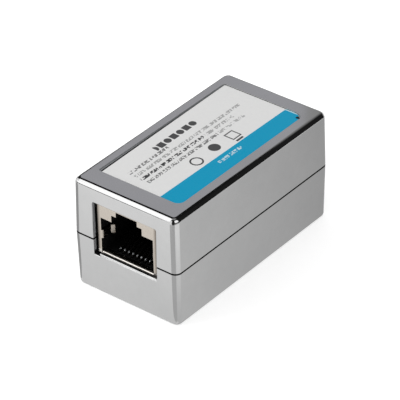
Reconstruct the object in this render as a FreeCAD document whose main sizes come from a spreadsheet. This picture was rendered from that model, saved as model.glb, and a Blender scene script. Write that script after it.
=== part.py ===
# In-line shielded network coupler: a two-part casing with a female 8-way modular jack at each end.
# X runs across the casing, Y along it, Z up; the origin is the centre of the underside.
import FreeCAD, Part
import math
import os
import re
import Sketcher

# Driving dimensions, in millimetres and degrees.
DRIVING = {
    "casing_width": 25.0,
    "casing_length": 47.4,
    "casing_height": 24.0,
    "parting_height": 12.0,
    "parting_gap": 0.34,
    "draft_angle": 0.95,
    "wall": 1.5,
    "roof": 1.6,
    "base_thickness": 1.5,
    "corner_radius": 1.4,
    "hollow_corner_radius": 0.5,
    "top_edge_radius": 1.05,
    "base_edge_radius": 0.75,
    "tongue_height": 1.2,
    "tongue_thickness": 0.7,
    "tongue_clearance": 0.05,
    "port_side_gap": 0.28,
    "port_below_gap": 0.05,
    "port_above_gap": 0.12,
    "port_sill_rise": 0.17,
    "port_sill_thickness": 0.5,
    "port_notch_width": 1.4,
    "port_notch_depth": 0.62,
    "port_corner_radius": 0.35,
    "port_edge_radius": 0.18,
    "label_left_margin": 2.45,
    "label_right_margin": 3.0,
    "label_front_margin": 5.0,
    "label_rear_margin": 4.0,
    "label_recess_depth": 0.3,
    "label_left_radius": 0.5,
    "label_right_radius": 1.5,
    "label_left_gap": 0.25,
    "label_clearance": 0.1,
    "label_worn_radius": 2.2,
    "label_thickness": 0.15,
    "boss_radius": 1.4,
    "boss_clearance": 0.15,
    "boss_end_inset": 2.3,
    "boss_web": 1.0,
    "pin_radius": 0.6,
    "pin_clearance": 0.03,
    "pin_reach": 3.0,
    "pin_tip_chamfer": 0.2,
    "rest_thickness": 1.2,
    "rest_width": 16.0,
    "clamp_rib_thickness": 1.2,
    "clamp_rib_width": 12.0,
    "clamp_rib_front": 5.0,
    "clamp_rib_back": 13.5,
    "board_thickness": 1.6,
    "board_side_gap": 0.6,
    "board_end_gap": 0.5,
    "board_corner_radius": 0.8,
    "board_hole_clearance": 0.1,
    "jack_setback": 0.85,
    "jack_rise": 2.6,
    "shield_width": 14.7,
    "shield_length": 18.3,
    "shield_height": 11.2,
    "shield_standoff": 0.25,
    "sheet": 0.25,
    "bend_radius": 0.35,
    "housing_clearance": 0.05,
    "foot_gap": 0.2,
    "opening_width": 12.6,
    "opening_floor": 0.63,
    "opening_height": 7.62,
    "latch_step_width": 7.34,
    "latch_step_height": 1.51,
    "latch_slot_width": 5.06,
    "latch_slot_height": 1.12,
    "latch_wall": 1.4,
    "lip_depth": 1.2,
    "lip_radius": 0.28,
    "lip_side_gap": 0.15,
    "finger_height": 1.8,
    "finger_rise": 2.97,
    "finger_inset": 0.24,
    "finger_bend_radius": 0.35,
    "finger_straight": 2.45,
    "finger_bump": 0.65,
    "finger_bump_depth": 0.65,
    "finger_tip_depth": 0.9,
    "finger_bump_radius": 0.2,
    "finger_room": 0.3,
    "tab_width": 1.6,
    "tab_depth": 11.5,
    "tab_reach": 0.8,
    "seam_width": 0.12,
    "seam_height": 10.4,
    "cavity_depth": 11.8,
    "comb_thickness": 1.65,
    "comb_height": 5.95,
    "comb_front": 1.65,
    "slot_clearance": 0.1,
    "peg_radius": 1.5,
    "peg_spacing": 10.8,
    "peg_depth": 8.0,
    "peg_length": 3.0,
    "peg_tip_chamfer": 0.4,
    "carrier_height": 3.9,
    "carrier_side_wall": 1.6,
    "carrier_clearance": 0.05,
    "carrier_core_width": 2.4,
    "carrier_core_height": 1.8,
    "carrier_core_depth": 0.6,
    "contact_count": 8,
    "contact_pitch": 1.02,
    "wire_radius": 0.23,
    "wire_lift": 0.3,
    "wire_slope": 22.0,
    "front_bend_depth": 2.45,
    "front_bend_radius": 0.4,
    "tail_bend_radius": 0.5,
    "wire_tip_depth": 12.4,
    "tail_row_near": 14.35,
    "tail_row_far": 16.89,
    "tail_reach": 1.0,
}

# Levels and places worked out from the driving dimensions; depths run back from a jack's face.
LOWER_RIM = "(parting_height - parting_gap / 2)"
UPPER_RIM = "(parting_height + parting_gap / 2)"
TONGUE_TOP = f"({LOWER_RIM} + tongue_height)"
ROOF_UNDER = "(casing_height - roof)"
HOLLOW_SIDE = "(casing_width / 2 - wall)"
HOLLOW_END = "(casing_length / 2 - wall)"
JACK_FACE = "(jack_setback - casing_length / 2)"
SHIELD_SIDE = "(shield_width / 2)"
SHIELD_FOOT = "(casing_height / 2 + jack_rise - shield_height / 2)"
SHIELD_TOP = f"({SHIELD_FOOT} + shield_height)"
SHIELD_BACK = f"({JACK_FACE} + shield_length)"
BOARD_TOP = f"({SHIELD_FOOT} - shield_standoff)"
BOARD_BOTTOM = f"({BOARD_TOP} - board_thickness)"
RECESS_LEFT = "(label_left_margin - casing_width / 2)"
RECESS_RIGHT = "(casing_width / 2 - label_right_margin)"
RECESS_FRONT = "(label_front_margin - casing_length / 2)"
RECESS_REAR = "(casing_length / 2 - label_rear_margin)"
BOSS_SIDE = f"({SHIELD_SIDE} + boss_clearance + boss_radius)"
BOSS_END = f"({HOLLOW_END} - boss_end_inset)"
OPENING_SIDE = "(opening_width / 2)"
FLOOR = f"({BOARD_TOP} + opening_floor)"
SHOULDER = f"({FLOOR} + opening_height)"
STEP_TOP = f"({SHOULDER} + latch_step_height)"
SLOT_TOP = f"({STEP_TOP} + latch_slot_height)"
FINGER_FOOT = f"({FLOOR} + finger_rise)"
HOUSING_GAP = "(sheet + housing_clearance)"
HOUSING_SIDE = f"({SHIELD_SIDE} - {HOUSING_GAP})"
HOUSING_FRONT = f"({JACK_FACE} + {HOUSING_GAP})"
HOUSING_BACK = f"({SHIELD_BACK} - {HOUSING_GAP})"
HOUSING_TOP = f"({SHIELD_TOP} - {HOUSING_GAP})"
COMB_BACK = f"({JACK_FACE} + cavity_depth + comb_thickness)"
CARRIER_SIDE = "(contact_pitch * (contact_count - 1) / 2 + carrier_side_wall)"
CARRIER_FRONT = f"({COMB_BACK} + carrier_clearance)"
SLOT_HALF = "(wire_radius + slot_clearance / 2)"
RUN = f"({BOARD_TOP} + wire_lift)"
PORT_SIDE = f"({SHIELD_SIDE} + port_side_gap)"

NARROW = 1e-4
OVERLAP = 0.4

doc = FreeCAD.newDocument("in_line_coupler")
sheet = doc.addObject("Spreadsheet::Sheet", "Sizes")
for row, (alias, value) in enumerate(DRIVING.items(), start=1):
    sheet.set(f"A{row}", alias)
    sheet.set(f"B{row}", str(value))
    sheet.setAlias(f"B{row}", alias)
doc.recompute()


def bound(expression):
    """An expression with the sheet's name before each of its sizes."""
    return re.sub(r"[a-z_]+", lambda word: "Sizes." + word[0] if word[0] in DRIVING else word[0], expression)


def worth(expression):
    """The number that an expression gives now."""
    return float(sheet.evalExpression(bound(expression)))


def new_body(label, turn=0.0):
    """A sub-part, turned about the upright axis."""
    body = doc.addObject("PartDesign::Body", label)
    body.Label = label
    about_z = FreeCAD.Rotation(FreeCAD.Vector(0, 0, 1), turn)
    body.Placement = FreeCAD.Placement(FreeCAD.Vector(0, 0, 0), about_z)
    return body


def new_sketch(body, plane, offset="0"):
    """A sketch on one of the body's own origin planes, moved along the plane's normal."""
    sketch = body.newObject("Sketcher::SketchObject", f"{body.Label}_sketch")
    support = [item for item in body.Origin.OriginFeatures if item.Role == plane][0]
    sketch.AttachmentSupport = [(support, "")]
    sketch.MapMode = "FlatFace"
    sketch.setExpression("AttachmentOffset.Base.z", bound(offset))
    return sketch


def hold(sketch, curve, point, across, up):
    """Ties one point of the sketch to a pair of expressions."""
    for kind, expression in (("DistanceX", across), ("DistanceY", up)):
        number = sketch.addConstraint(Sketcher.Constraint(kind, -1, 1, curve, point, worth(expression)))
        sketch.renameConstraint(number, f"{kind}_{curve}_{point}")
        sketch.setExpression(f"Constraints.{kind}_{curve}_{point}", bound(expression))


def outline(sketch, corners):
    """A closed outline of straight lines through corners given as pairs of expressions."""
    first = sketch.GeometryCount
    points = [FreeCAD.Vector(worth(across), worth(up), 0) for across, up in corners]
    for start, end in zip(points, points[1:] + points[:1]):
        sketch.addGeometry(Part.LineSegment(start, end), False)
    for step in range(len(points)):
        following = first + (step + 1) % len(points)
        sketch.addConstraint(Sketcher.Constraint("Coincident", first + step, 2, following, 1))
    for step, (across, up) in enumerate(corners):
        hold(sketch, first + step, 1, across, up)


def rectangle(sketch, left, right, low, high):
    outline(sketch, [(left, low), (right, low), (right, high), (left, high)])


def centred(sketch, half_across, half_up):
    rectangle(sketch, f"-{half_across}", half_across, f"-{half_up}", half_up)


def circle(sketch, across, up, radius):
    centre = FreeCAD.Vector(worth(across), worth(up), 0)
    curve = sketch.addGeometry(Part.Circle(centre, FreeCAD.Vector(0, 0, 1), worth(radius)), False)
    number = sketch.addConstraint(Sketcher.Constraint("Radius", curve, worth(radius)))
    sketch.renameConstraint(number, f"Radius_{curve}")
    sketch.setExpression(f"Constraints.Radius_{curve}", bound(radius))
    hold(sketch, curve, 3, across, up)


def bent_path(sketch, corners, radii):
    """An open path through corners, with a tangent arc of its own radius at each inner corner."""
    points = [FreeCAD.Vector(worth(across), worth(up), 0) for across, up in corners]
    starts, ends, arcs = [points[0]], [], []
    for before, corner, after, radius in zip(points, points[1:], points[2:], radii):
        back, ahead = (before - corner).normalize(), (after - corner).normalize()
        half = back.getAngle(ahead) / 2
        reach = worth(radius) / math.tan(half)
        middle = corner + (back + ahead).normalize() * (worth(radius) / math.sin(half))
        ends.append(corner + back * reach)
        starts.append(corner + ahead * reach)
        arcs.append((middle, worth(radius), ends[-1], starts[-1], back.cross(ahead).z < 0))
    ends.append(points[-1])
    lines = [sketch.addGeometry(Part.LineSegment(start, end), False) for start, end in zip(starts, ends)]
    for place, (middle, radius, entry, leaving, anticlockwise) in enumerate(arcs):
        angles = [math.atan2(point.y - middle.y, point.x - middle.x) for point in (entry, leaving)]
        if not anticlockwise:
            angles.reverse()
        if angles[1] < angles[0]:
            angles[1] += 2 * math.pi
        ring = Part.Circle(middle, FreeCAD.Vector(0, 0, 1), radius)
        arc = sketch.addGeometry(Part.ArcOfCircle(ring, angles[0], angles[1]), False)
        entry_end, leaving_end = (1, 2) if anticlockwise else (2, 1)
        sketch.addConstraint(Sketcher.Constraint("Tangent", lines[place], 2, arc, entry_end))
        sketch.addConstraint(Sketcher.Constraint("Tangent", lines[place + 1], 1, arc, leaving_end))
        number = sketch.addConstraint(Sketcher.Constraint("Radius", arc, radius))
        sketch.renameConstraint(number, f"Radius_{arc}")
        sketch.setExpression(f"Constraints.Radius_{arc}", bound(radii[place]))
        corner = sketch.addGeometry(Part.Point(points[place + 1]), True)
        hold(sketch, corner, 1, *corners[place + 1])
        for line in (lines[place], lines[place + 1]):
            sketch.addConstraint(Sketcher.Constraint("PointOnObject", corner, 1, line))
    hold(sketch, lines[0], 1, *corners[0])
    hold(sketch, lines[-1], 2, *corners[-1])


def extrude(body, kind, sketch, length, reverse=False, taper=None, both_ways=False):
    """A Pad or a Pocket whose length follows an expression; a pocket has to take something away."""
    doc.recompute()
    before = body.Shape.Volume if kind == "Pocket" else 0.0
    feature = body.newObject(f"PartDesign::{kind}", f"{body.Label}_{kind.lower()}")
    feature.Profile = (sketch, [""])
    feature.Reversed = reverse
    feature.SideType = "Symmetric" if both_ways else "One side"
    feature.setExpression("Length", bound(length))
    if taper:
        feature.setExpression("TaperAngle", bound(taper))
    doc.recompute()
    if kind == "Pocket" and feature.Shape.Volume > before - NARROW:
        raise RuntimeError(f"{feature.Name} cuts nothing")
    return feature


def edges_of(feature, test):
    """The names of the edges of a feature's solid that pass a test."""
    return [f"Edge{number}" for number, edge in enumerate(feature.Shape.Edges, start=1) if test(edge)]


def dress(body, kind, size, test):
    """A Fillet or a Chamfer on the edges of the body's solid that pass a test."""
    tip = body.Tip
    names = edges_of(tip, test)
    if not names:
        raise RuntimeError(f"{body.Label} has no edge for its {kind.lower()}")
    feature = body.newObject(f"PartDesign::{kind}", f"{body.Label}_{kind.lower()}")
    feature.Base = (tip, names)
    feature.setExpression("Radius" if kind == "Fillet" else "Size", bound(size))
    doc.recompute()
    return feature


def near(value, expression):
    return abs(value - worth(expression)) < 1e-3


def upright(edge):
    """An edge that runs up the piece, drafted or not."""
    box = edge.BoundBox
    return box.ZLength > 5 * max(box.XLength, box.YLength)


def along(edge):
    """A straight edge parallel to Y."""
    box = edge.BoundBox
    return box.YLength > NARROW and box.XLength < NARROW and box.ZLength < NARROW


def lies_at(edge, level):
    box = edge.BoundBox
    return near(box.ZMin, level) and near(box.ZMax, level)


def side_of(edge):
    return abs(edge.BoundBox.Center.x)


def end_of(edge):
    return abs(edge.BoundBox.Center.y)


def at_corners(sketch, half_across, half_up, radius):
    """A circle at each corner of a centred rectangle."""
    for across in ("-", ""):
        for up in ("-", ""):
            circle(sketch, f"{across}{half_across}", f"{up}{half_up}", radius)


def boss_webs(sketch, reach):
    """Webs that tie the corner bosses to the side walls."""
    for side in (("", f"{reach}"), (f"-{reach}", "")):
        for end in ("-", ""):
            left = side[0] or BOSS_SIDE
            right = side[1] or f"-{BOSS_SIDE}"
            middle = f"{end}{BOSS_END}"
            rectangle(sketch, left, right, f"{middle} - boss_web / 2", f"{middle} + boss_web / 2")


def cut_ports(body, low, high):
    """Opens both end walls for the jacks."""
    sketch = new_sketch(body, "XZ_Plane")
    rectangle(sketch, f"-{PORT_SIDE}", PORT_SIDE, low, high)
    extrude(body, "Pocket", sketch, "casing_length * 2", both_ways=True)


def drafted_block(label, rim, level, reach, edge_radius, upwards):
    """The outer form of half a casing, drafted away from the parting line, with round corners and edge."""
    body = new_body(label)
    sketch = new_sketch(body, "XY_Plane", rim)
    centred(sketch, "(casing_width / 2)", "(casing_length / 2)")
    extrude(body, "Pad", sketch, reach, reverse=not upwards, taper="-draft_angle")
    dress(body, "Fillet", "corner_radius", upright)
    dress(body, "Fillet", edge_radius, lambda edge: lies_at(edge, level))
    return body


def hollow_out(body, rim, depth, upwards):
    """The drafted hollow, with its upright corners rounded, those of a tongue above it as well."""
    sketch = new_sketch(body, "XY_Plane", rim)
    centred(sketch, HOLLOW_SIDE, HOLLOW_END)
    extrude(body, "Pocket", sketch, depth, reverse=upwards, taper="-draft_angle")
    dress(body, "Fillet", "hollow_corner_radius", lambda edge: upright(edge) and inside_hollow(edge))


def inside_hollow(edge):
    return side_of(edge) < worth(HOLLOW_SIDE) + NARROW and end_of(edge) < worth(HOLLOW_END) + NARROW


def round_port(body, *levels):
    """Rounds the corners of the port openings at their levels, then breaks their outer edges."""
    dress(body, "Fillet", "port_corner_radius",
          lambda edge: along(edge) and near(side_of(edge), PORT_SIDE)
          and any(lies_at(edge, level) for level in levels))
    dress(body, "Fillet", "port_edge_radius", on_port_rim)


def on_port_rim(edge):
    """An edge of a port opening that lies in the casing's outer end face."""
    box = edge.BoundBox
    outer_skin = worth("casing_length / 2 - (wall - tongue_thickness) / 2")
    within_port = max(abs(box.XMin), abs(box.XMax)) < worth(PORT_SIDE) + NARROW
    return within_port and min(abs(box.YMin), abs(box.YMax)) > outer_skin and box.YMin * box.YMax > 0


def make_upper_shell():
    body = drafted_block("upper_shell", UPPER_RIM, "casing_height", f"casing_height - {UPPER_RIM}",
                         "top_edge_radius", upwards=True)
    hollow_out(body, UPPER_RIM, f"{ROOF_UNDER} - {UPPER_RIM}", upwards=True)
    # Rebate that takes the lower shell's tongue.
    rebate = "(wall - tongue_thickness - tongue_clearance)"
    sketch = new_sketch(body, "XY_Plane", UPPER_RIM)
    centred(sketch, f"(casing_width / 2 - {rebate})", f"(casing_length / 2 - {rebate})")
    extrude(body, "Pocket", sketch, f"{TONGUE_TOP} - {UPPER_RIM}", reverse=True)
    dress(body, "Fillet", f"corner_radius - {rebate}",
          lambda edge: upright(edge) and near(edge.BoundBox.ZMin, UPPER_RIM)
          and near(edge.BoundBox.ZMax, TONGUE_TOP))
    # Port openings.
    port_top = f"({SHIELD_TOP} + port_above_gap)"
    cut_ports(body, f"{UPPER_RIM} - wall", port_top)
    round_port(body, port_top)
    # Recess for the label, nearly square in its left corners.
    sketch = new_sketch(body, "XY_Plane", "casing_height")
    rectangle(sketch, RECESS_LEFT, RECESS_RIGHT, RECESS_FRONT, RECESS_REAR)
    extrude(body, "Pocket", sketch, "label_recess_depth")
    for radius, side in (("label_left_radius", RECESS_LEFT), ("label_right_radius", RECESS_RIGHT)):
        dress(body, "Fillet", radius,
              lambda edge: in_recess(edge) and near(edge.BoundBox.Center.x, side))
    # Corner bosses that bear on the board, webs, and the press pins below them.
    sketch = new_sketch(body, "XY_Plane", BOARD_TOP)
    at_corners(sketch, BOSS_SIDE, BOSS_END, "boss_radius")
    extrude(body, "Pad", sketch, f"{ROOF_UNDER} - {BOARD_TOP} + {OVERLAP}")
    sketch = new_sketch(body, "XY_Plane", f"{TONGUE_TOP} + tongue_clearance")
    boss_webs(sketch, f"({HOLLOW_SIDE} + {OVERLAP})")
    extrude(body, "Pad", sketch, f"{ROOF_UNDER} - {TONGUE_TOP}")
    sketch = new_sketch(body, "XY_Plane", f"{BOARD_TOP} + {OVERLAP}")
    at_corners(sketch, BOSS_SIDE, BOSS_END, "pin_radius")
    extrude(body, "Pad", sketch, f"board_thickness + pin_reach + {OVERLAP}", reverse=True)
    dress(body, "Chamfer", "pin_tip_chamfer", lambda edge: lies_at(edge, f"{BOARD_BOTTOM} - pin_reach"))
    # Ribs that hold the jacks down.
    sketch = new_sketch(body, "XY_Plane", SHIELD_TOP)
    for depth in ("clamp_rib_front", "clamp_rib_back"):
        for end in ("", "-"):
            middle = f"{end}({JACK_FACE} + {depth})"
            rectangle(sketch, "-clamp_rib_width / 2", "clamp_rib_width / 2",
                      f"{middle} - clamp_rib_thickness / 2", f"{middle} + clamp_rib_thickness / 2")
    extrude(body, "Pad", sketch, f"{ROOF_UNDER} - {SHIELD_TOP} + {OVERLAP}")
    return body


def in_recess(edge):
    """An upright edge of the label's recess."""
    box = edge.BoundBox
    floor = "casing_height - label_recess_depth"
    return upright(edge) and near(box.ZMin, floor) and near(box.ZMax, "casing_height")


def make_lower_shell():
    body = drafted_block("lower_shell", LOWER_RIM, "0", LOWER_RIM, "base_edge_radius", upwards=False)
    # Tongue that stands up inside the upper shell's rebate.
    sketch = new_sketch(body, "XY_Plane", LOWER_RIM)
    centred(sketch, f"({HOLLOW_SIDE} + tongue_thickness)", f"({HOLLOW_END} + tongue_thickness)")
    extrude(body, "Pad", sketch, "tongue_height")
    dress(body, "Fillet", "corner_radius - wall + tongue_thickness",
          lambda edge: upright(edge) and near(edge.BoundBox.ZMax, TONGUE_TOP))
    sketch = new_sketch(body, "XY_Plane", TONGUE_TOP)
    centred(sketch, HOLLOW_SIDE, HOLLOW_END)
    extrude(body, "Pocket", sketch, "tongue_height")
    hollow_out(body, LOWER_RIM, f"{LOWER_RIM} - base_thickness", upwards=False)
    # Port openings, with a thin sill in front of the jack's foot, a notch where the sill ends at the
    # left of each port, and a lower ledge behind it.
    sill = f"({SHIELD_FOOT} + port_sill_rise)"
    cut_ports(body, sill, f"{TONGUE_TOP} + wall")
    notch_floor = f"({sill} - port_notch_depth)"
    notch_end = f"({PORT_SIDE} - port_notch_width)"
    for left, right, at_front in ((f"-{PORT_SIDE}", f"-{notch_end}", True), (notch_end, PORT_SIDE, False)):
        sketch = new_sketch(body, "XZ_Plane")
        rectangle(sketch, left, right, notch_floor, f"{sill} + {OVERLAP}")
        extrude(body, "Pocket", sketch, "casing_length", reverse=at_front)
    round_port(body, sill, notch_floor)
    ledge = f"{SHIELD_FOOT} - port_below_gap"
    sketch = new_sketch(body, "XZ_Plane")
    rectangle(sketch, f"-{PORT_SIDE}", PORT_SIDE, ledge, f"{SHIELD_FOOT} + {OVERLAP}")
    extrude(body, "Pocket", sketch, "casing_length - port_sill_thickness * 2", both_ways=True)
    # Corner bosses with sockets for the pins, webs, and the rest under the board's middle.
    sketch = new_sketch(body, "XY_Plane", BOARD_BOTTOM)
    at_corners(sketch, BOSS_SIDE, BOSS_END, "boss_radius")
    extrude(body, "Pad", sketch, f"{BOARD_BOTTOM} - base_thickness + {OVERLAP}", reverse=True)
    sketch = new_sketch(body, "XY_Plane", f"{BOARD_BOTTOM} - boss_web")
    boss_webs(sketch, f"({HOLLOW_SIDE} + {OVERLAP})")
    extrude(body, "Pad", sketch, f"{BOARD_BOTTOM} - boss_web - base_thickness + {OVERLAP}", reverse=True)
    sketch = new_sketch(body, "XY_Plane", BOARD_BOTTOM)
    at_corners(sketch, BOSS_SIDE, BOSS_END, "pin_radius + pin_clearance")
    extrude(body, "Pocket", sketch, "pin_reach + pin_tip_chamfer")
    sketch = new_sketch(body, "XY_Plane", BOARD_BOTTOM)
    centred(sketch, "(rest_width / 2)", "(rest_thickness / 2)")
    extrude(body, "Pad", sketch, f"{BOARD_BOTTOM} - base_thickness + {OVERLAP}", reverse=True)
    return body


def make_top_label():
    """The printed sheet that lies in the upper shell's recess."""
    body = new_body("top_label")
    sketch = new_sketch(body, "XY_Plane", "casing_height - label_recess_depth")
    rectangle(sketch, f"{RECESS_LEFT} + label_left_gap", f"{RECESS_RIGHT} - label_clearance",
              f"{RECESS_FRONT} + label_clearance", f"{RECESS_REAR} - label_clearance")
    extrude(body, "Pad", sketch, "label_thickness")
    # Nearly square corners on the left, round ones on the right, the one at the back worn rounder.
    dress(body, "Fillet", "label_left_radius",
          lambda edge: upright(edge) and edge.BoundBox.Center.x < 0)
    dress(body, "Fillet", "label_right_radius - label_clearance",
          lambda edge: upright(edge) and near(edge.BoundBox.Center.x, f"{RECESS_RIGHT} - label_clearance")
          and edge.BoundBox.Center.y < 0)
    dress(body, "Fillet", "label_worn_radius",
          lambda edge: upright(edge) and near(edge.BoundBox.Center.x, f"{RECESS_RIGHT} - label_clearance")
          and near(edge.BoundBox.Center.y, f"{RECESS_REAR} - label_clearance"))
    return body


def contact_side(number):
    """How far across contact number stands from the middle."""
    return f"({number} - (contact_count + 1) / 2) * contact_pitch"


def tail_depth(number):
    return "tail_row_near" if number % 2 else "tail_row_far"


def make_circuit_board():
    """The board: pin holes at its corners, then for each jack peg holes, tab slots and contact holes."""
    body = new_body("circuit_board")
    sketch = new_sketch(body, "XY_Plane", BOARD_BOTTOM)
    centred(sketch, f"({HOLLOW_SIDE} - board_side_gap)", f"({HOLLOW_END} - board_end_gap)")
    extrude(body, "Pad", sketch, "board_thickness")
    dress(body, "Fillet", "board_corner_radius", upright)
    sketch = new_sketch(body, "XY_Plane", BOARD_TOP)
    at_corners(sketch, BOSS_SIDE, BOSS_END, "pin_radius + board_hole_clearance")
    for end in ("", "-"):
        for side in ("", "-"):
            circle(sketch, f"{side}peg_spacing / 2", f"{end}({JACK_FACE} + peg_depth)",
                   "peg_radius + board_hole_clearance")
            middle = f"{end}({JACK_FACE} + tab_depth)"
            slot_middle = f"{side}({SHIELD_SIDE} - sheet / 2)"
            rectangle(sketch, f"{slot_middle} - sheet / 2 - board_hole_clearance",
                      f"{slot_middle} + sheet / 2 + board_hole_clearance",
                      f"{middle} - tab_width / 2 - board_hole_clearance",
                      f"{middle} + tab_width / 2 + board_hole_clearance")
        for number in range(1, int(worth("contact_count")) + 1):
            across = f"-({contact_side(number)})" if end else contact_side(number)
            circle(sketch, across, f"{end}({JACK_FACE} + {tail_depth(number)})",
                   "wire_radius + board_hole_clearance")
    extrude(body, "Pocket", sketch, "board_thickness * 2")
    return body


def make_jack_shield(end, turn):
    """The jack's can, folded from one sheet, with its stepped opening, rolled lip and spring fingers."""
    body = new_body(f"{end}_jack_shield", turn)
    sketch = new_sketch(body, "XY_Plane", SHIELD_FOOT)
    rectangle(sketch, f"-{SHIELD_SIDE}", SHIELD_SIDE, JACK_FACE, SHIELD_BACK)
    extrude(body, "Pad", sketch, "shield_height")
    dress(body, "Fillet", "bend_radius", lambda edge: not lies_at(edge, SHIELD_FOOT))
    sketch = new_sketch(body, "XY_Plane", SHIELD_FOOT)
    rectangle(sketch, f"-({SHIELD_SIDE} - sheet)", f"{SHIELD_SIDE} - sheet",
              f"{JACK_FACE} + sheet", f"{SHIELD_BACK} - sheet")
    extrude(body, "Pocket", sketch, "shield_height - sheet", reverse=True)
    inner_side = f"{SHIELD_SIDE} - sheet"
    inner_top = f"{SHIELD_TOP} - sheet"
    dress(body, "Fillet", "bend_radius - sheet",
          lambda edge: (upright(edge) and near(side_of(edge), inner_side)) or lies_at(edge, inner_top))
    # Plug opening with the two steps of its latch slot.
    sketch = new_sketch(body, "XZ_Plane", f"-{JACK_FACE}")
    outline(sketch, plug_outline(f"({FLOOR} - lip_radius)"))
    extrude(body, "Pocket", sketch, "sheet * 2")
    add_rolled_lip(body)
    add_spring_fingers(body)
    # Solder tabs at the sides, and the seams where the back flap meets them.
    sketch = new_sketch(body, "XY_Plane", f"{SHIELD_FOOT} + {OVERLAP}")
    tab_front, tab_back = (f"{JACK_FACE} + tab_depth {sign} tab_width / 2" for sign in "-+")
    rectangle(sketch, f"-{SHIELD_SIDE}", f"sheet - {SHIELD_SIDE}", tab_front, tab_back)
    rectangle(sketch, f"{SHIELD_SIDE} - sheet", SHIELD_SIDE, tab_front, tab_back)
    extrude(body, "Pad", sketch, f"{SHIELD_FOOT} + {OVERLAP} - {BOARD_BOTTOM} + tab_reach", reverse=True)
    sketch = new_sketch(body, "XZ_Plane", f"-{SHIELD_BACK}")
    for side in ("", "-"):
        middle = f"{side}({SHIELD_SIDE} - bend_radius - seam_width)"
        rectangle(sketch, f"{middle} - seam_width / 2", f"{middle} + seam_width / 2",
                  f"{SHIELD_FOOT} - {OVERLAP}", f"{SHIELD_FOOT} + seam_height")
    extrude(body, "Pocket", sketch, "sheet * 2", reverse=True)
    return body


def plug_outline(floor):
    """The stepped outline of the plug and its latch, in the plane of the jack's face."""
    right = [(OPENING_SIDE, floor), (OPENING_SIDE, SHOULDER), ("latch_step_width / 2", SHOULDER),
             ("latch_step_width / 2", STEP_TOP), ("latch_slot_width / 2", STEP_TOP),
             ("latch_slot_width / 2", SLOT_TOP)]
    left = [(f"-{across}", up) for across, up in reversed(right)]
    return right + left


def add_rolled_lip(body):
    """The opening's lower edge, rolled inwards over the housing's floor."""
    middle = f"({JACK_FACE} + sheet / 2)"
    profile = new_sketch(body, "XY_Plane", SHIELD_FOOT)
    side = f"({OPENING_SIDE} - lip_side_gap)"
    rectangle(profile, f"-{side}", side, JACK_FACE, f"{JACK_FACE} + sheet")
    spine = new_sketch(body, "YZ_Plane")
    level = f"({FLOOR} - sheet / 2)"
    bent_path(spine, [(middle, SHIELD_FOOT), (middle, level), (f"{JACK_FACE} + lip_depth", level)],
              ["lip_radius - sheet / 2"])
    sweep(body, profile, spine)


def add_spring_fingers(body):
    """A finger each side, folded in at the opening's edge, run back along the wall and bumped inwards."""
    for side in ("-", ""):
        profile = new_sketch(body, "YZ_Plane", f"{side}({OPENING_SIDE} + bend_radius)")
        rectangle(profile, JACK_FACE, f"{JACK_FACE} + sheet", FINGER_FOOT, f"{FINGER_FOOT} + finger_height")
        spine = new_sketch(body, "XY_Plane", f"{FINGER_FOOT} + finger_height / 2")
        middle = f"{JACK_FACE} + sheet / 2"
        inset = f"({OPENING_SIDE} - finger_inset)"
        crest = f"({JACK_FACE} + finger_straight + finger_bump_depth)"
        bent_path(spine, [
            (f"{side}({OPENING_SIDE} + bend_radius)", middle),
            (f"{side}{inset}", middle),
            (f"{side}{inset}", f"{JACK_FACE} + finger_straight"),
            (f"{side}({inset} - finger_bump)", crest),
            (f"{side}{inset}", f"{crest} + finger_tip_depth"),
        ], ["finger_bend_radius", "finger_bump_radius", "finger_bump_radius"])
        sweep(body, profile, spine)


def sweep(body, profile, spine):
    doc.recompute()
    pipe = body.newObject("PartDesign::AdditivePipe", f"{body.Label}_pipe")
    pipe.Profile = (profile, [""])
    pipe.Spine = (spine, [""])
    doc.recompute()
    return pipe


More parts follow.
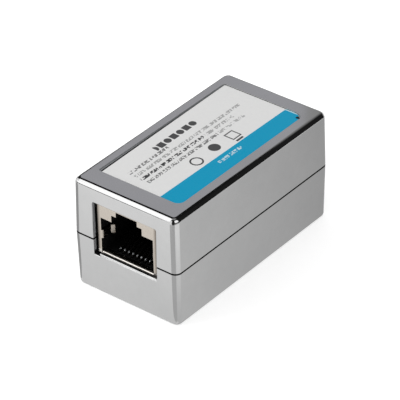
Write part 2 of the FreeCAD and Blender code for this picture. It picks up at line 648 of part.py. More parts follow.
def make_jack_housing(end, turn):
    """The moulded body: plug cavity, latch channel, slotted floor and comb, carrier bay and board pegs."""
    body = new_body(f"{end}_jack_housing", turn)
    sketch = new_sketch(body, "XY_Plane", BOARD_TOP)
    rectangle(sketch, f"-{HOUSING_SIDE}", HOUSING_SIDE, HOUSING_FRONT, HOUSING_BACK)
    extrude(body, "Pad", sketch, f"{HOUSING_TOP} - {BOARD_TOP}")
    # Step in its front foot, which stands over the casing's wall below the port.
    sketch = new_sketch(body, "XZ_Plane", f"-{HOUSING_FRONT}")
    rectangle(sketch, f"-{SHIELD_SIDE}", SHIELD_SIDE, f"{BOARD_TOP} - {OVERLAP}", FLOOR)
    extrude(body, "Pocket", sketch, f"wall - jack_setback + foot_gap - {HOUSING_GAP}")
    # Front wall with the latch steps, and the wider channel that the latch springs into behind it.
    cavity_back = f"({JACK_FACE} + cavity_depth)"
    sketch = new_sketch(body, "XZ_Plane", f"-{HOUSING_FRONT}")
    outline(sketch, plug_outline(FLOOR))
    extrude(body, "Pocket", sketch, "latch_wall")
    sketch = new_sketch(body, "XZ_Plane", f"-{cavity_back}")
    rectangle(sketch, f"-{OPENING_SIDE}", OPENING_SIDE, FLOOR, SHOULDER)
    extrude(body, "Pocket", sketch, f"{cavity_back} - {HOUSING_FRONT}", reverse=True)
    sketch = new_sketch(body, "XZ_Plane", f"-{cavity_back}")
    rectangle(sketch, "-latch_step_width / 2", "latch_step_width / 2", f"{SHOULDER} - {OVERLAP}", SLOT_TOP)
    extrude(body, "Pocket", sketch, f"{cavity_back} - {HOUSING_FRONT} - latch_wall", reverse=True)
    # Seat for the shield's rolled lip.
    sketch = new_sketch(body, "XZ_Plane", f"-{HOUSING_FRONT}")
    rectangle(sketch, f"-{OPENING_SIDE}", OPENING_SIDE,
              f"{FLOOR} - {HOUSING_GAP}", f"{FLOOR} + {OVERLAP}")
    extrude(body, "Pocket", sketch, "lip_depth")
    # Room for the spring fingers in the side walls.
    sketch = new_sketch(body, "XZ_Plane", f"-{HOUSING_FRONT}")
    low, high = f"{FINGER_FOOT} - finger_room", f"{FINGER_FOOT} + finger_height + finger_room"
    rectangle(sketch, f"-({OPENING_SIDE} + finger_room)", f"{OVERLAP} - {OPENING_SIDE}", low, high)
    rectangle(sketch, f"{OPENING_SIDE} - {OVERLAP}", f"{OPENING_SIDE} + finger_room", low, high)
    extrude(body, "Pocket", sketch, "finger_straight + finger_bump_depth + finger_tip_depth + finger_room")
    # Slots for the contacts, through the floor and up the comb wall.
    slot_front = f"{JACK_FACE} + comb_front"
    sketch = new_sketch(body, "XY_Plane", BOARD_TOP)
    first = contact_side(1)
    rectangle(sketch, f"{first} - {SLOT_HALF}", f"{first} + {SLOT_HALF}", slot_front, COMB_BACK)
    slot = extrude(body, "Pocket", sketch, "comb_height", reverse=True)
    spread_slots(body, slot)
    # Bay at the back for the contact carrier.
    bay_side = f"({CARRIER_SIDE} + carrier_clearance)"
    sketch = new_sketch(body, "XY_Plane", BOARD_TOP)
    rectangle(sketch, f"-{bay_side}", bay_side, COMB_BACK, f"{HOUSING_BACK} + {OVERLAP}")
    extrude(body, "Pocket", sketch, "carrier_height + carrier_clearance", reverse=True)
    # Pegs that locate the jack in the board.
    sketch = new_sketch(body, "XY_Plane", f"{BOARD_TOP} + {OVERLAP}")
    for side in ("-", ""):
        circle(sketch, f"{side}peg_spacing / 2", f"{JACK_FACE} + peg_depth", "peg_radius")
    extrude(body, "Pad", sketch, f"peg_length + {OVERLAP}", reverse=True)
    dress(body, "Chamfer", "peg_tip_chamfer", lambda edge: lies_at(edge, f"{BOARD_TOP} - peg_length"))
    return body


def spread_slots(body, slot):
    """Repeats a slot across the row of contacts."""
    pattern = body.newObject("PartDesign::LinearPattern", f"{body.Label}_row")
    pattern.Originals = [slot]
    pattern.Direction = ([item for item in body.Origin.OriginFeatures if item.Role == "X_Axis"][0], [""])
    pattern.setExpression("Length", bound("contact_pitch * (contact_count - 1)"))
    pattern.setExpression("Occurrences", bound("contact_count"))
    body.Tip = pattern
    doc.recompute()
    return pattern


def make_contact_carrier(end, turn):
    """The insert at the jack's back that holds the wires down on the board."""
    body = new_body(f"{end}_contact_carrier", turn)
    sketch = new_sketch(body, "XY_Plane", BOARD_TOP)
    rectangle(sketch, f"-{CARRIER_SIDE}", CARRIER_SIDE, CARRIER_FRONT, HOUSING_BACK)
    extrude(body, "Pad", sketch, "carrier_height")
    first = contact_side(1)
    sketch = new_sketch(body, "XY_Plane", BOARD_TOP)
    rectangle(sketch, f"{first} - {SLOT_HALF}", f"{first} + {SLOT_HALF}",
              f"{CARRIER_FRONT} - {OVERLAP}", f"{JACK_FACE} + tail_row_far + {SLOT_HALF}")
    groove = extrude(body, "Pocket", sketch, "wire_lift + wire_radius + slot_clearance / 2", reverse=True)
    spread_slots(body, groove)
    # Cores in its back, so that the moulding keeps an even wall.
    sketch = new_sketch(body, "XZ_Plane", f"-{HOUSING_BACK}")
    for place in ("-1", "0", "1"):
        middle = f"{place} * carrier_core_width * 4 / 3"
        rectangle(sketch, f"{middle} - carrier_core_width / 2", f"{middle} + carrier_core_width / 2",
                  f"{BOARD_TOP} + carrier_height / 2 - carrier_core_height / 4",
                  f"{BOARD_TOP} + carrier_height / 2 + carrier_core_height * 3 / 4")
    extrude(body, "Pocket", sketch, "carrier_core_depth", reverse=True)
    return body


def make_contact(end, turn, number):
    """One formed wire: tail through the board, run forward, turned over at the front and sloped back."""
    body = new_body(f"{end}_contact_{number}", turn)
    side = contact_side(number)
    tail = f"{JACK_FACE} + {tail_depth(number)}"
    tail_end = f"{BOARD_BOTTOM} - tail_reach"
    nose = f"({JACK_FACE} + front_bend_depth - front_bend_radius / tan(wire_slope * 1deg / 2))"
    tip = f"({JACK_FACE} + wire_tip_depth)"
    profile = new_sketch(body, "XY_Plane", tail_end)
    circle(profile, side, tail, "wire_radius")
    spine = new_sketch(body, "YZ_Plane", side)
    bent_path(spine, [
        (tail, tail_end),
        (tail, RUN),
        (nose, RUN),
        (tip, f"{RUN} + ({tip} - {nose}) * tan(wire_slope * 1deg)"),
    ], ["tail_bend_radius", "front_bend_radius"])
    sweep(body, profile, spine)
    return body


def make_jack(end, turn):
    """One jack's pieces; the rear jack is the front one turned about."""
    pieces = [make_jack_shield(end, turn), make_jack_housing(end, turn), make_contact_carrier(end, turn)]
    count = int(worth("contact_count"))
    return pieces + [make_contact(end, turn, number) for number in range(1, count + 1)]


def check(pieces):
    """Stops on a failed feature or on a piece that isn't one sound solid."""
    for item in doc.Objects:
        if "Invalid" in item.State or "Error" in item.State:
            raise RuntimeError(f"{item.Name} failed: {item.State}")
    for piece in pieces:
        if piece.Shape.isNull() or not piece.Shape.isValid() or len(piece.Shape.Solids) != 1:
            raise RuntimeError(f"{piece.Label} isn't one sound solid")


def main():
    pieces = [make_upper_shell(), make_lower_shell(), make_top_label(), make_circuit_board()]
    pieces += make_jack("front", 0.0)
    pieces += make_jack("rear", 180.0)
    doc.recompute()
    check(pieces)
    os.makedirs("parts", exist_ok=True)
    for piece in pieces:
        piece.Shape.exportStep(f"parts/{piece.Label}.step")
        print(piece.Label, round(piece.Shape.Volume, 2))


main()
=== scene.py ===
import math

import bmesh
import bpy
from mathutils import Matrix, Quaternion, Vector

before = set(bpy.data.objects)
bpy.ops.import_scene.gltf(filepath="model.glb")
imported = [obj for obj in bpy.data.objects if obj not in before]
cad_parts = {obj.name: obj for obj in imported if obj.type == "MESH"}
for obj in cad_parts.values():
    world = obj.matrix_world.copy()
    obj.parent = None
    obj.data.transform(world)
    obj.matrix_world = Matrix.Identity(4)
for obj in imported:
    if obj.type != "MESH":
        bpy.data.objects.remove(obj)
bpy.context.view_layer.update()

MM = 0.001

# The camera, measured from the photograph: azimuth runs from the front towards the right-hand side.
AIM = Vector((-0.226, -0.699, 11.408)) * MM
AZIMUTH = math.radians(38.971)
ELEVATION = math.radians(34.132)
ROLL = math.radians(1.191)
DISTANCE = 508.276 * MM
LENS = 237.88
SENSOR = 36.0

# Light: what a white surface facing up gets from the sky alone, and the softbox in front on the left.
SKY_LEVEL = 0.66
SOFTBOX_AZIMUTH = math.radians(308.0)
SOFTBOX_ELEVATION = math.radians(30.0)
SOFTBOX_DISTANCE = 560.0 * MM
SOFTBOX_SIZE = (460.0 * MM, 420.0 * MM)
SOFTBOX_RADIANCE = 1.9

# The table, and how much it glows for the camera and for a mirror, so that it meets the white behind it.
FLOOR_RADIUS = 450.0 * MM
FLOOR_DROP = 0.02 * MM
FLOOR_GLOW_SEEN = 0.555
FLOOR_GLOW_MIRRORED = 0.22

# Cards round the object that only the metal sees. Each one is a straight edge swept round an upright
# axis: the axis (X, Y), the edge's two radii and two heights, in millimetres, and two azimuths in
# degrees. Its glow is one level, or a direction, two places along it in millimetres and a level at
# each; a tint may follow.
MIDDLE = (0.0, 0.0)
FRONT_RIGHT_FOOT = (12.5, -23.7)
FRONT_LEFT_FOOT = (-12.5, -23.7)
PALE_TO_THE_RIGHT = ((0.996, -0.087, 0.0), 14, 46, 0.62, 0.97)
PALE_TO_THE_FRONT_RIGHT = ((0.777, -0.629, 0.0), -5, 24, 0.46, 0.65)
PALE_TO_THE_FRONT = ((-0.1, -0.995, 0.0), 23, 58, 0.79, 1.0)
DARK_TO_THE_RIGHT = ((1.0, 0.0, 0.0), -48, 37, 0.35, 0.015)
CARDS = {
    "grey_sheet_by_front_right_corner": (FRONT_RIGHT_FOOT, (0.5, 37), (0.05, 0.05), (-29, 46), 0.54),
    "pale_sheet_by_front_right_corner": (FRONT_RIGHT_FOOT, (0.5, 40), (0.03, 0.03), (46, 127),
                                         PALE_TO_THE_RIGHT),
    "dark_sheet_front_right": (FRONT_RIGHT_FOOT, (37, 95), (0.05, 0.05), (6, 46), 0.02),
    # Painted shadow: for the metal, this sheet stands in for the object's shadow on the table behind it
    # on the right.
    "shadow_sheet_right": (FRONT_RIGHT_FOOT, (0.5, 100), (0.05, 0.05), (127, 214), PALE_TO_THE_FRONT_RIGHT),
    # Painted shade: for the metal, this sheet stands in for the table's shade near the object's foot in
    # front, darker close to it.
    "shade_sheet_front": (FRONT_LEFT_FOOT, (0.5, 75), (0.02, 0.02), (316, 450), PALE_TO_THE_FRONT),
    "grey_sheet_left": (FRONT_LEFT_FOOT, (0.5, 90), (0.03, 0.03), (214, 316), 0.42),
    "dark_sheet_rear_left": (MIDDLE, (38, 112), (0.05, 0.05), (205, 245), 0.05),
    "dark_wall_rear_left": (MIDDLE, (112, 112), (0, 27), (205, 245), 0.05),
    "dark_wall_front_right": (MIDDLE, (110, 110), (1, 175), (8, 45), 0.02),
    "white_wall_right": (MIDDLE, (110, 110), (47, 175), (45, 97), 1.35),
    "grey_wall_below_white": (MIDDLE, (110, 110), (1, 47), (45, 97), 0.16),
    "grey_wall_rear_right": (MIDDLE, (110, 110), (1, 135), (97, 158), DARK_TO_THE_RIGHT),
    "grey_wall_rear": (MIDDLE, (110, 110), (42, 135), (158, 206), DARK_TO_THE_RIGHT),
    "grey_card_rear_left": (MIDDLE, (500, 500), (-20, 435), (206, 231), 0.475, "#F8F8FE"),
    "dark_card_left": (MIDDLE, (500, 500), (60, 435), (231, 266), 0.02),
    "dark_card_high_left": (MIDDLE, (500, 500), (370, 435), (266, 279), 0.02),
    "dark_cap_overhead": (MIDDLE, (350, 150), (350, 436), (-22, 279), 0.01),
    "grey_cap_overhead": (MIDDLE, (150, 1), (436, 500), (-22, 338), 0.3),
    "dark_card_above_rear_left": (MIDDLE, (480, 330), (417, 360), (206, 279), 0.01),
    "dark_strip_front_left": (MIDDLE, (170, 170), (-2, 25), (300, 335), 0.02),
    "white_strip_front_left": (MIDDLE, (175, 175), (25, 80), (296, 335), 1.6),
    "white_card_front_left": (MIDDLE, (175, 175), (80, 171), (315, 337), 1.6),
    "white_card_above_front_left": (MIDDLE, (175, 175), (171, 250), (292, 332), 1.6),
    "white_card_high_left": (MIDDLE, (175, 175), (250, 350), (279, 318), 1.6),
}

# A colour Mix node's sockets by number: the colours at factors 0 and 1, and the blend that comes out.
FIRST = 6
SECOND = 7
BLEND = 2


def linear(hexadecimal):
    """An sRGB hex colour as the linear colour that a socket takes."""
    shares = [int(hexadecimal[place:place + 2], 16) / 255 for place in (1, 3, 5)]
    curve = [share / 12.92 if share <= 0.04045 else ((share + 0.055) / 1.055) ** 2.4 for share in shares]
    return (*curve, 1.0)


def direction(azimuth, elevation):
    """The way from the object towards an azimuth and an elevation, both in radians."""
    level = math.cos(elevation)
    return Vector((math.sin(azimuth) * level, -math.cos(azimuth) * level, math.sin(elevation)))


def add(tree, kind, links, **settings):
    """A shader node's outputs; links gives an input a value or the socket that feeds it."""
    made = tree.nodes.new("ShaderNode" + kind)
    for name, value in settings.items():
        setattr(made, name, value)
    for name, value in links.items():
        if isinstance(value, bpy.types.NodeSocket):
            tree.links.new(value, made.inputs[name])
        else:
            made.inputs[name].default_value = value
    return made.outputs


def new_material(name):
    """A material and its empty node tree."""
    material = bpy.data.materials.new(name)
    material.use_nodes = True
    material.node_tree.nodes.clear()
    return material, material.node_tree


def place_in_mm(tree):
    """Where a point of the piece lies, in millimetres: across (X), along (Y) and up (Z)."""
    place = add(tree, "TexCoord", {})["Object"]
    scaled = add(tree, "VectorMath", {0: place, 1: (1 / MM, 1 / MM, 1 / MM)}, operation="MULTIPLY")
    return add(tree, "SeparateXYZ", {"Vector": scaled["Vector"]})


def grain(tree, size, detail=2.0, stretch=(1.0, 1.0, 1.0)):
    """Cloudy variation from 0 to 1, its patches size millimetres across and drawn out by stretch."""
    place = add(tree, "TexCoord", {})["Object"]
    scale = [1.0 / (size * MM * share) for share in stretch]
    spread = add(tree, "Mapping", {"Vector": place, "Scale": scale})
    return add(tree, "TexNoise", {"Vector": spread["Vector"], "Scale": 1.0, "Detail": detail})["Fac"]


def band(tree, value, middle, half):
    """1 where a value lies within half of the middle, else 0."""
    return add(tree, "Math", {0: value, 1: middle, 2: half}, operation="COMPARE")[0]


def both(tree, first, *others):
    """The product of several shares."""
    for other in others:
        first = add(tree, "Math", {0: first, 1: other}, operation="MULTIPLY")[0]
    return first


def box_of(tree, right, back, centre, halves):
    """1 inside a rectangle, else 0."""
    return both(tree, band(tree, right, centre[0], halves[0]), band(tree, back, centre[1], halves[1]))


def round_and_square(tree, right, back):
    """The length of a step, and the larger of its two parts."""
    step = add(tree, "CombineXYZ", {"X": right, "Y": back, "Z": 0.0})["Vector"]
    length = add(tree, "VectorMath", {0: step}, operation="LENGTH")["Value"]
    right = add(tree, "Math", {0: right}, operation="ABSOLUTE")[0]
    back = add(tree, "Math", {0: back}, operation="ABSOLUTE")[0]
    larger = add(tree, "Math", {0: right, 1: back}, operation="MAXIMUM")[0]
    return length, larger


def far_from(tree, across, along, centre):
    """How far each point lies from a centre: straight, and as in a square."""
    right = add(tree, "Math", {0: across, 1: centre[0]}, operation="SUBTRACT")[0]
    back = add(tree, "Math", {0: along, 1: centre[1]}, operation="SUBTRACT")[0]
    return round_and_square(tree, right, back)


def within(tree, across, along, centre, radius):
    """1 inside a circle, else 0."""
    away = far_from(tree, across, along, centre)[0]
    return add(tree, "Math", {0: away, 1: radius}, operation="LESS_THAN")[0]


# Places on the casing, in millimetres: the insides of the ports, their deeper and lower parts painted
# near black as shade, the edge worn round below each port, the parting groove, painted dark as its shade
# and lighter at its tight end, and the gap at the label's left side and the worn corner at its rear
# right, both painted matt grey as shade, with a painted dark shadow spot in the corner.
PORT_HALF_WIDTH = 7.67
PORT_MIDDLE_HEIGHT = 14.43
PORT_HALF_HEIGHT = 5.93
PORT_WALL_MIDDLE = 22.5
PORT_WALL_HALF = 1.0
PORT_DARK_WITHIN = 22.92
SILL_TOP = 9.3
WORN_EDGE_LOW = 8.64
WORN_EDGE_HIGH = 9.02
WORN_EDGE_DROP = 0.19
WORN_EDGE_HALF_WIDTH = 7.55
GROOVE_HEIGHT = 12.0
GROOVE_HALF = 0.19
TIGHT_FROM = 7.4
GAP_MIDDLE = (-9.9, 23.84)
GAP_HALVES = (0.3, 0.155)
GAP_HALF_LENGTH = 19.9
WORN_CORNER = (8.7, 19.1)
WORN_CORNER_RADIUS = 1.3
SHADOW_SPOT_CENTRE = (8.88, 18.5)
SHADOW_SPOT_RADIUS = 0.42
# How much of the plate's grey clouds shows, and how far its surface swells, in millimetres.
CLOUD_SHARE = 0.42
SWELL_DEPTH = 0.016


def chrome_plate():
    """Bright chrome on a die-cast shell: a near mirror that swells a little, as the casting does.

    The plating runs thin inside the ports, where the casting's dull grey shows, and their deeper and
    lower parts are painted near black as shade; the plating is worn round and bright below them. The
    parting groove is painted near black as its shade, lighter where the halves close up at the front on
    the right. The gap at the label's left and its worn corner are painted matt grey as shade in place of
    the mirror, with a painted dark shadow spot there.
    """
    material, tree = new_material("chrome_plate_on_die_casting")
    across, along, up = place_in_mm(tree)
    swell = grain(tree, size=5.0, detail=1.0)
    haze = grain(tree, size=1.6, detail=4.0)
    cloud = grain(tree, size=9.0)
    depth = add(tree, "Math", {0: along}, operation="ABSOLUTE")[0]
    port = both(tree, band(tree, across, 0.0, PORT_HALF_WIDTH),
                band(tree, up, PORT_MIDDLE_HEIGHT, PORT_HALF_HEIGHT),
                band(tree, depth, PORT_WALL_MIDDLE, PORT_WALL_HALF))
    # Painted shade: the ports' lower parts and deeper walls are painted near black, as the shade inside
    # them; the outer walls keep the casting's dull matt grey.
    low = add(tree, "Math", {0: up, 1: SILL_TOP}, operation="LESS_THAN")[0]
    deep = add(tree, "Math", {0: depth, 1: PORT_DARK_WITHIN}, operation="LESS_THAN")[0]
    dark = add(tree, "Math", {0: low, 1: deep}, operation="MAXIMUM")[0]
    skin_and_painted_shade = add(tree, "Mix", {"Factor": dark, FIRST: linear("#A2A4A6"), SECOND: linear("#0C0C0D")},
               data_type="RGBA")[BLEND]
    # Painted shade: the parting groove is painted near black as the shade inside it, mid grey where the
    # halves close up at the front on the right.
    groove = band(tree, up, GROOVE_HEIGHT, GROOVE_HALF)
    right = add(tree, "Math", {0: across, 1: TIGHT_FROM}, operation="GREATER_THAN")[0]
    front = add(tree, "Math", {0: along, 1: -PORT_WALL_MIDDLE}, operation="LESS_THAN")[0]
    groove_shade = add(tree, "Mix", {"Factor": both(tree, right, front), FIRST: linear("#0B0B0B"),
                             SECOND: linear("#6E6F70")}, data_type="RGBA")[BLEND]
    # Painted shade: the gap at the label's left and the crescent at its rear right corner are painted
    # matt grey, not metal, as the shade there in place of the mirror's bright reflection.
    gap = both(tree, box_of(tree, across, up, GAP_MIDDLE, GAP_HALVES),
               band(tree, along, 0.0, GAP_HALF_LENGTH))
    recess = band(tree, up, GAP_MIDDLE[1], GAP_HALVES[1])
    corner = both(tree, recess, within(tree, across, along, WORN_CORNER, WORN_CORNER_RADIUS))
    # Painted shadow: a dark spot in the gap at the label's rear right corner.
    shadow_spot = both(tree, recess, within(tree, across, along, SHADOW_SPOT_CENTRE, SHADOW_SPOT_RADIUS))
    painted_grey_shade = add(tree, "Math", {0: gap, 1: corner}, operation="MAXIMUM")[0]
    plate = add(tree, "Mix", {"Factor": haze, FIRST: linear("#D1D1D1"), SECOND: linear("#D8D8D8")},
                data_type="RGBA")[BLEND]
    plate = add(tree, "Mix", {"Factor": both(tree, cloud, CLOUD_SHARE), FIRST: plate,
                              SECOND: linear("#BABBBB")}, data_type="RGBA")[BLEND]
    dull = 0.0
    for share, colour in ((port, skin_and_painted_shade), (groove, groove_shade), (painted_grey_shade, linear("#A6A8AA")),
                          (shadow_spot, linear("#101011"))):
        plate = add(tree, "Mix", {"Factor": share, FIRST: plate, SECOND: colour}, data_type="RGBA")[BLEND]
        dull = add(tree, "Math", {0: share, 1: dull}, operation="MAXIMUM")[0]
    matt = add(tree, "Math", {0: painted_grey_shade, 1: port}, operation="MAXIMUM")[0]
    metal = add(tree, "Math", {0: 1.0, 1: matt}, operation="SUBTRACT")[0]
    roughness = add(tree, "MapRange", {"Value": haze, "To Min": 0.06, "To Max": 0.12})["Result"]
    roughness = add(tree, "MapRange", {"Value": dull, "To Min": roughness, "To Max": 0.4})["Result"]
    worn = add(tree, "MapRange", {"Value": up, "From Min": WORN_EDGE_LOW,
                                  "From Max": WORN_EDGE_HIGH})["Result"]
    worn = both(tree, worn, low, band(tree, across, 0.0, WORN_EDGE_HALF_WIDTH))
    relief = add(tree, "Bump", {"Height": swell, "Distance": SWELL_DEPTH * MM, "Strength": 1.0})["Normal"]
    relief = add(tree, "Bump", {"Height": worn, "Distance": WORN_EDGE_DROP * MM, "Strength": 1.0,
                                "Normal": relief}, invert=True)["Normal"]
    surface = add(tree, "BsdfPrincipled", {"Base Color": plate, "Metallic": metal, "Roughness": roughness,
                                           "Normal": relief})
    add(tree, "OutputMaterial", {"Surface": surface["BSDF"]})
    return material


# The label's print, in millimetres across (X) and along (Y). Fine rows: middle, start, end, strength.
ROW_HALF_HEIGHT = 0.42
ROWS = [
    (-4.65, -16.2, -4.6, 0.74),
    (-3.10, -16.2, 15.7, 0.50),
    (-1.55, -16.4, 2.4, 0.95),
    (-1.55, 2.9, 11.5, 0.50),
    (0.0, -16.2, 4.7, 0.74),
    (0.0, 5.2, 13.0, 0.45),
]
# The rows' tiny blocks: their cells, the share of them that stays bare, and the groups with gaps
# between, whose places shift from one line to the next.
CELL_ALONG = 0.3
CELL_ACROSS = 0.28
CELL_BARE_SHARE = 0.36
GROUP_LENGTH = 2.4
GROUP_GAP_SHARE = 0.14
GROUP_SHIFT = 0.37
# A heading of solid squares and discs in turn, and how strong its ink and the marks' ink is.
HEADING_MIDDLE = -6.1
HEADING_PITCH = 1.9
HEADING_HALF = 0.8
HEADING_START = -6.7
HEADING_END = 5.8
SOLID_INK = 0.93
# Marks beside the rows: a ring, a disc, a square frame and a short bar.
RING_CENTRE = (2.8, -5.2)
RING_RADIUS = 1.22
RING_HALF_LINE = 0.18
DISC_CENTRE = (2.5, 0.6)
DISC_RADIUS = 1.25
FRAME_CENTRE = (2.6, 6.1)
FRAME_HALF = 1.12
FRAME_HALF_LINE = 0.14
BAR_CENTRE = (4.5, 5.9)
BAR_HALVES = (0.24, 1.0)
# The blue stripe, whose edge runs slightly askew, a painted highlight along its rear edge and the pale
# fine row in it.
STRIPE_EDGE = 4.98
STRIPE_SLANT = 0.011
HIGHLIGHT_EDGE_FROM = 19.3
PALE_ROW = (6.4, -3.0, 3.9, 0.75)
# The film's clear margin on the left, painted the grey that the chrome beneath it reflects, and a painted
# shadow line beside the white, dark in front and lighter behind.
CLEAR_EDGE = -9.49
CLEAR_SLANT = -0.013
CLEAR_LINE_WIDTH = 0.34
CLEAR_DARK_TO = -12.5
CLEAR_LIGHT_FROM = -7.0
FILM_GRAIN_DEPTH = 0.002


def speckle(tree, across, along):
    """Tiny blocks in groups, two cells out of three inked."""
    column = add(tree, "Math", {0: along, 1: CELL_ALONG}, operation="SNAP")[0]
    line = add(tree, "Math", {0: across, 1: CELL_ACROSS}, operation="SNAP")[0]
    cell = add(tree, "CombineXYZ", {"X": column, "Y": line, "Z": 0.0})["Vector"]
    chance = add(tree, "TexWhiteNoise", {"Vector": cell}, noise_dimensions="2D")["Value"]
    inked = add(tree, "Math", {0: chance, 1: CELL_BARE_SHARE}, operation="GREATER_THAN")[0]
    shifted = add(tree, "Math", {0: across, 1: GROUP_SHIFT, 2: along}, operation="MULTIPLY_ADD")[0]
    group = add(tree, "Math", {0: shifted, 1: GROUP_LENGTH}, operation="DIVIDE")[0]
    group = add(tree, "Math", {0: group}, operation="FRACT")[0]
    apart = add(tree, "Math", {0: group, 1: GROUP_GAP_SHARE}, operation="GREATER_THAN")[0]
    return both(tree, inked, apart)


def row_of(tree, across, along, middle, start, end):
    """1 inside a fine row, else 0."""
    return box_of(tree, across, along, (middle, (start + end) / 2), (ROW_HALF_HEIGHT, (end - start) / 2))


def fine_print(tree, across, along):
    """Rows of tiny blocks set in groups with gaps between them, each row with its own strength."""
    strength = 0.0
    for middle, start, end, share in ROWS:
        row = row_of(tree, across, along, middle, start, end)
        strength = add(tree, "Math", {0: row, 1: share, 2: strength}, operation="MULTIPLY_ADD")[0]
    return both(tree, strength, speckle(tree, across, along))


def heading(tree, across, along):
    """Solid squares and discs in turn along one line."""
    place = add(tree, "Math", {0: along, 1: HEADING_PITCH}, operation="DIVIDE")[0]
    number = add(tree, "Math", {0: place}, operation="FLOOR")[0]
    odd = add(tree, "Math", {0: number, 1: 2.0}, operation="FLOORED_MODULO")[0]
    share = add(tree, "Math", {0: place, 1: number}, operation="SUBTRACT")[0]
    back = add(tree, "MapRange", {"Value": share, "To Min": -HEADING_PITCH / 2,
                                  "To Max": HEADING_PITCH / 2})["Result"]
    right = add(tree, "Math", {0: across, 1: HEADING_MIDDLE}, operation="SUBTRACT")[0]
    length, larger = round_and_square(tree, right, back)
    away = add(tree, "MapRange", {"Value": odd, "To Min": length, "To Max": larger})["Result"]
    solid = add(tree, "Math", {0: away, 1: HEADING_HALF}, operation="LESS_THAN")[0]
    middle = (HEADING_START + HEADING_END) / 2
    return both(tree, solid, band(tree, along, middle, HEADING_END - middle))


def marks(tree, across, along):
    """A ring, a disc, a square frame and a bar."""
    ring = band(tree, far_from(tree, across, along, RING_CENTRE)[0], RING_RADIUS, RING_HALF_LINE)
    disc = within(tree, across, along, DISC_CENTRE, DISC_RADIUS)
    square = band(tree, far_from(tree, across, along, FRAME_CENTRE)[1], FRAME_HALF, FRAME_HALF_LINE)
    total = box_of(tree, across, along, BAR_CENTRE, BAR_HALVES)
    for mark in (ring, disc, square):
        total = add(tree, "Math", {0: total, 1: mark}, operation="MAXIMUM")[0]
    return total


def label_film():
    """Printed vinyl film: satin white with dark ink and a blue stripe, clear along its left margin."""
    material, tree = new_material("printed_vinyl_film")
    across, along, _ = place_in_mm(tree)
    film = add(tree, "Mix", {"Factor": grain(tree, size=0.6, detail=3.0), FIRST: linear("#EDEDED"),
                             SECOND: linear("#F4F4F3")}, data_type="RGBA")[BLEND]
    solid = add(tree, "Math", {0: heading(tree, across, along), 1: marks(tree, across, along)},
                operation="MAXIMUM")[0]
    ink = add(tree, "Math", {0: solid, 1: SOLID_INK, 2: fine_print(tree, across, along)},
              operation="MULTIPLY_ADD")[0]
    film = add(tree, "Mix", {"Factor": ink, FIRST: film, SECOND: linear("#2B2B2D")},
               data_type="RGBA")[BLEND]

    stripe_edge = add(tree, "Math", {0: along, 1: STRIPE_SLANT, 2: STRIPE_EDGE},
                      operation="MULTIPLY_ADD")[0]
    stripe = add(tree, "Math", {0: across, 1: stripe_edge}, operation="GREATER_THAN")[0]
    *row, strength = PALE_ROW
    pale = both(tree, row_of(tree, across, along, *row), speckle(tree, across, along), strength)
    blue = add(tree, "Mix", {"Factor": pale, FIRST: linear("#00A3CD"), SECOND: linear("#E4F2F6")},
               data_type="RGBA")[BLEND]
    # Painted highlight: a pale line along the stripe's rear edge, as if the film there caught the light.
    rear_edge_highlight = add(tree, "Math", {0: along, 1: HIGHLIGHT_EDGE_FROM}, operation="GREATER_THAN")[0]
    blue = add(tree, "Mix", {"Factor": rear_edge_highlight, FIRST: blue, SECOND: linear("#C9EAF4")},
               data_type="RGBA")[BLEND]
    film = add(tree, "Mix", {"Factor": stripe, FIRST: film, SECOND: blue}, data_type="RGBA")[BLEND]

    # Painted shadow and reflection: a dark shadow line beside the white, darker in front, and left of it
    # the grey that the chrome under the clear film reflects.
    shaded = add(tree, "MapRange", {"Value": along, "From Min": CLEAR_DARK_TO,
                                    "From Max": CLEAR_LIGHT_FROM})["Result"]
    line = add(tree, "Mix", {"Factor": shaded, FIRST: linear("#0B0B0C"), SECOND: linear("#2C2D2F")},
               data_type="RGBA")[BLEND]
    clear_edge = add(tree, "Math", {0: along, 1: CLEAR_SLANT, 2: CLEAR_EDGE}, operation="MULTIPLY_ADD")[0]
    line_edge = add(tree, "Math", {0: clear_edge, 1: CLEAR_LINE_WIDTH}, operation="SUBTRACT")[0]
    bare = add(tree, "Math", {0: across, 1: line_edge}, operation="LESS_THAN")[0]
    margin = add(tree, "Mix", {"Factor": bare, FIRST: line, SECOND: linear("#8B8D90")},
                 data_type="RGBA")[BLEND]
    clear = add(tree, "Math", {0: across, 1: clear_edge}, operation="LESS_THAN")[0]
    film = add(tree, "Mix", {"Factor": clear, FIRST: film, SECOND: margin}, data_type="RGBA")[BLEND]

    # Painted shadow: the same dark spot on the label's rear right corner.
    shadow_spot = within(tree, across, along, SHADOW_SPOT_CENTRE, SHADOW_SPOT_RADIUS)
    film = add(tree, "Mix", {"Factor": shadow_spot, FIRST: film, SECOND: linear("#1A2226")},
               data_type="RGBA")[BLEND]
    relief = add(tree, "Bump", {"Height": grain(tree, size=0.35), "Distance": FILM_GRAIN_DEPTH * MM,
                                "Strength": 1.0})["Normal"]
    surface = add(tree, "BsdfPrincipled", {"Base Color": film, "Roughness": 0.34,
                                           "Specular IOR Level": 0.15, "Normal": relief})
    add(tree, "OutputMaterial", {"Surface": surface["BSDF"]})
    return material


# Places on the jack's shield, in millimetres: where its sides are painted darker as shade beside the port
# walls, and the rolled lip, painted pale as a highlight.
SIDE_SHADE_FROM = 6.4
SIDE_SHADE_FULL = 7.2
ROLLED_BELOW = 9.75
ROLLED_BEYOND = 22.4
# How deep the draw lines of the sheet and of the contact wires are, in millimetres.
DRAW_LINE_DEPTH = 0.001


